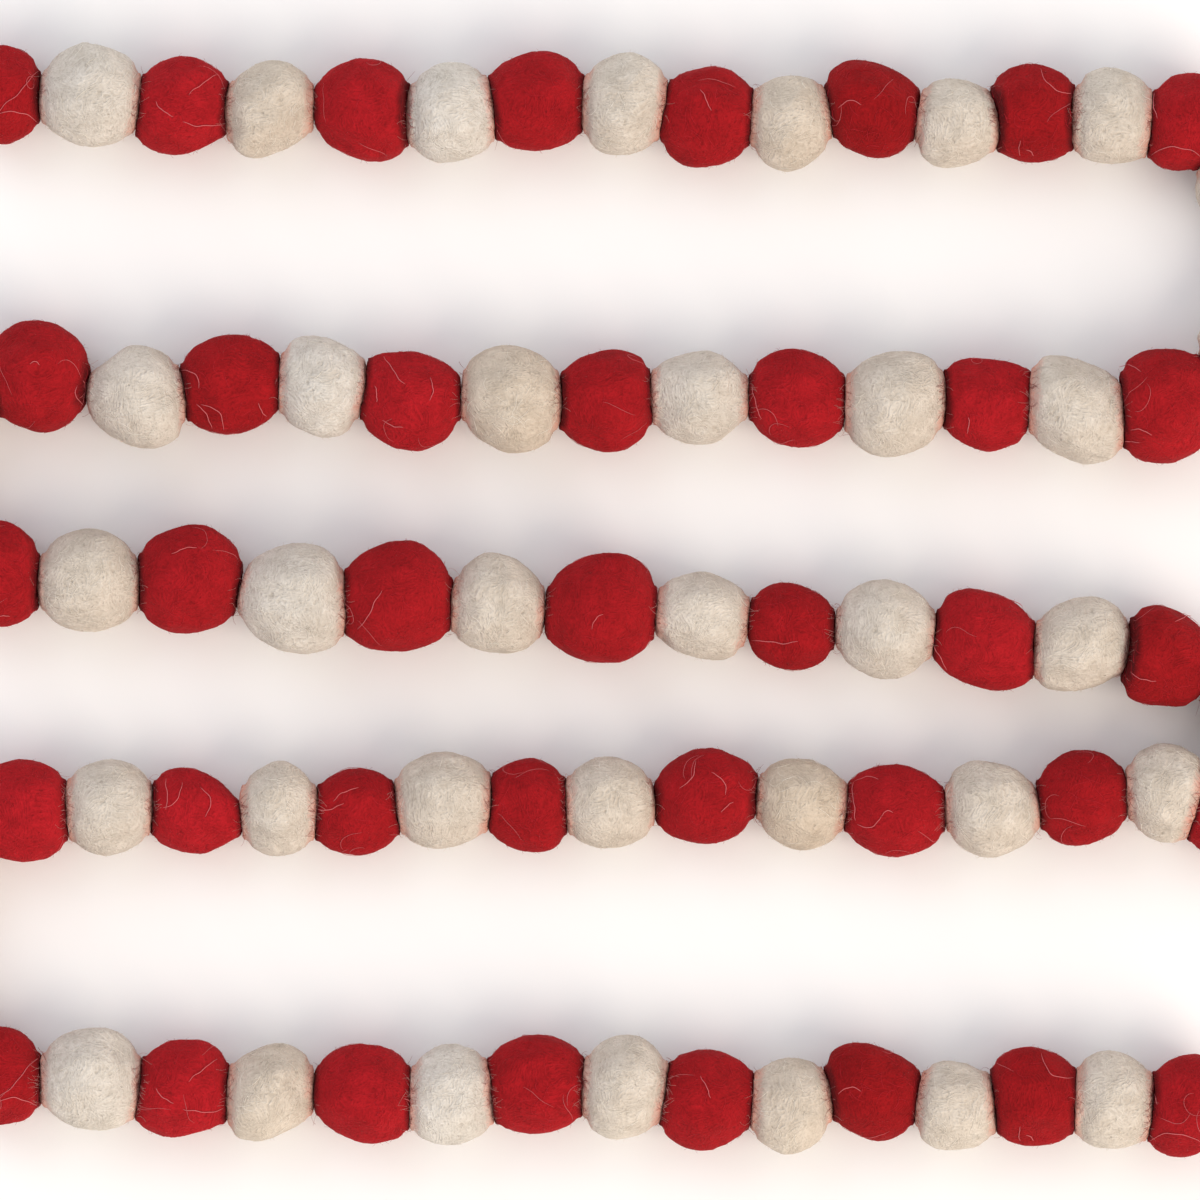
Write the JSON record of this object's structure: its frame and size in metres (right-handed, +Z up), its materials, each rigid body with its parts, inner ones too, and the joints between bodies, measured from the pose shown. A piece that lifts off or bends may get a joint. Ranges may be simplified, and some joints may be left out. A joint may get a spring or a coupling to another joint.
{
  "type": "felt ball garland",
  "caption": "Garland of red and cream wool felt balls strung tightly by turns on one thread, lying back and forth in five passes.",
  "frame": {"origin": "middle of the underside, on the surface that the garland lies on", "axes": "+X along the five passes, +Y towards the first pass, +Z up"},
  "size_m": [0.3814, 0.2844, 0.028],
  "materials": {
    "red_felt": "deep red wet-felted wool, matt and slightly hairy",
    "cream_felt": "undyed cream wet-felted wool, matt and slightly hairy",
    "red_and_cream_felt": "red and cream wet-felted wool balls by turns, matt and slightly hairy",
    "thread": "twisted cream cotton thread"
  },
  "bodies": {
    "root": {"bend1-balls": "red_and_cream_felt", "bend2-balls": "red_and_cream_felt", "bend3-balls": "red_and_cream_felt", "bend4-pass5-balls": "red_and_cream_felt", "pass1-ball01-red": "red_felt", "pass1-ball02-cream": "cream_felt", "pass1-ball03-red": "red_felt", "pass1-ball04-cream": "cream_felt", "pass1-ball05-red": "red_felt", "pass1-ball06-cream": "cream_felt", "pass1-ball07-red": "red_felt", "pass1-ball08-cream": "cream_felt", "pass1-ball09-red": "red_felt", "pass1-ball10-cream": "cream_felt", "pass1-ball11-red": "red_felt", "pass1-ball12-cream": "cream_felt", "pass1-ball13-red": "red_felt", "pass1-ball14-cream": "cream_felt", "pass1-ball15-red": "red_felt", "pass2-ball01-red": "red_felt", "pass2-ball02-cream": "cream_felt", "pass2-ball03-red": "red_felt", "pass2-ball04-cream": "cream_felt", "pass2-ball05-red": "red_felt", "pass2-ball06-cream": "cream_felt", "pass2-ball07-red": "red_felt", "pass2-ball08-cream": "cream_felt", "pass2-ball09-red": "red_felt", "pass2-ball10-cream": "cream_felt", "pass2-ball11-red": "red_felt", "pass2-ball12-cream": "cream_felt", "pass2-ball13-red": "red_felt", "pass3-ball01-red": "red_felt", "pass3-ball02-cream": "cream_felt", "pass3-ball03-red": "red_felt", "pass3-ball04-cream": "cream_felt", "pass3-ball05-red": "red_felt", "pass3-ball06-cream": "cream_felt", "pass3-ball07-red": "red_felt", "pass3-ball08-cream": "cream_felt", "pass3-ball09-red": "red_felt", "pass3-ball10-cream": "cream_felt", "pass3-ball11-red": "red_felt", "pass3-ball12-cream": "cream_felt", "pass3-ball13-red": "red_felt", "pass4-ball01-cream": "cream_felt", "pass4-ball02-red": "red_felt", "pass4-ball03-cream": "cream_felt", "pass4-ball04-red": "red_felt", "pass4-ball05-cream": "cream_felt", "pass4-ball06-red": "red_felt", "pass4-ball07-cream": "cream_felt", "pass4-ball08-red": "red_felt", "pass4-ball09-cream": "cream_felt", "pass4-ball10-red": "red_felt", "pass4-ball11-cream": "cream_felt", "pass4-ball12-red": "red_felt", "pass4-ball13-cream": "cream_felt", "pass4-ball14-red": "red_felt", "thread": "thread"}
  },
  "joints": []
}
